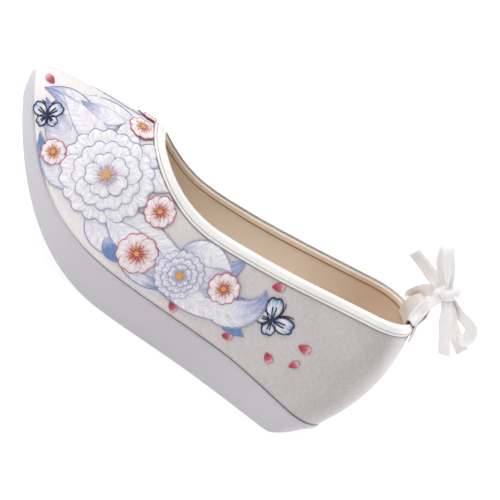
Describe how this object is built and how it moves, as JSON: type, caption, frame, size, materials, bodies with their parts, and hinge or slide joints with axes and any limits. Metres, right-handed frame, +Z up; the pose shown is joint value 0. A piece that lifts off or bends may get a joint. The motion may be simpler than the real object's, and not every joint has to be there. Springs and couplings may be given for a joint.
{
  "type": "embroidered wedge shoe",
  "caption": "Left slip-on cloth shoe with an upturned pointed toe, boat-shaped platform sole, hidden heel wedge, bound collar and a ribbon bow on a loop at the heel.",
  "frame": {"origin": "middle of the shoe's length and width, on the floor under the flat of the sole", "axes": "+X along the shoe to the toe, +Y to the shoe's left (outer) side, +Z up"},
  "size_m": [0.2762, 0.0819, 0.1352],
  "materials": {
    "sole": "pale grey foamed platform, matte",
    "upper": "ivory satin brocade with embroidery",
    "insole": "beige, soft sheen",
    "binding": "white satin",
    "heel_loop": "folded cloth strip, matte",
    "ribbon": "off-white ribbon, soft sheen"
  },
  "bodies": {
    "root": {"sole": "sole", "upper": "upper", "insole": "insole", "collar_binding": "binding", "heel_loop": "heel_loop", "bow_knot": "ribbon", "bow_tie": "ribbon", "bow_loop_front": "ribbon", "bow_tail_front": "ribbon", "bow_loop_back": "ribbon", "bow_tail_back": "ribbon", "bow_tail_low": "ribbon"}
  },
  "joints": []
}
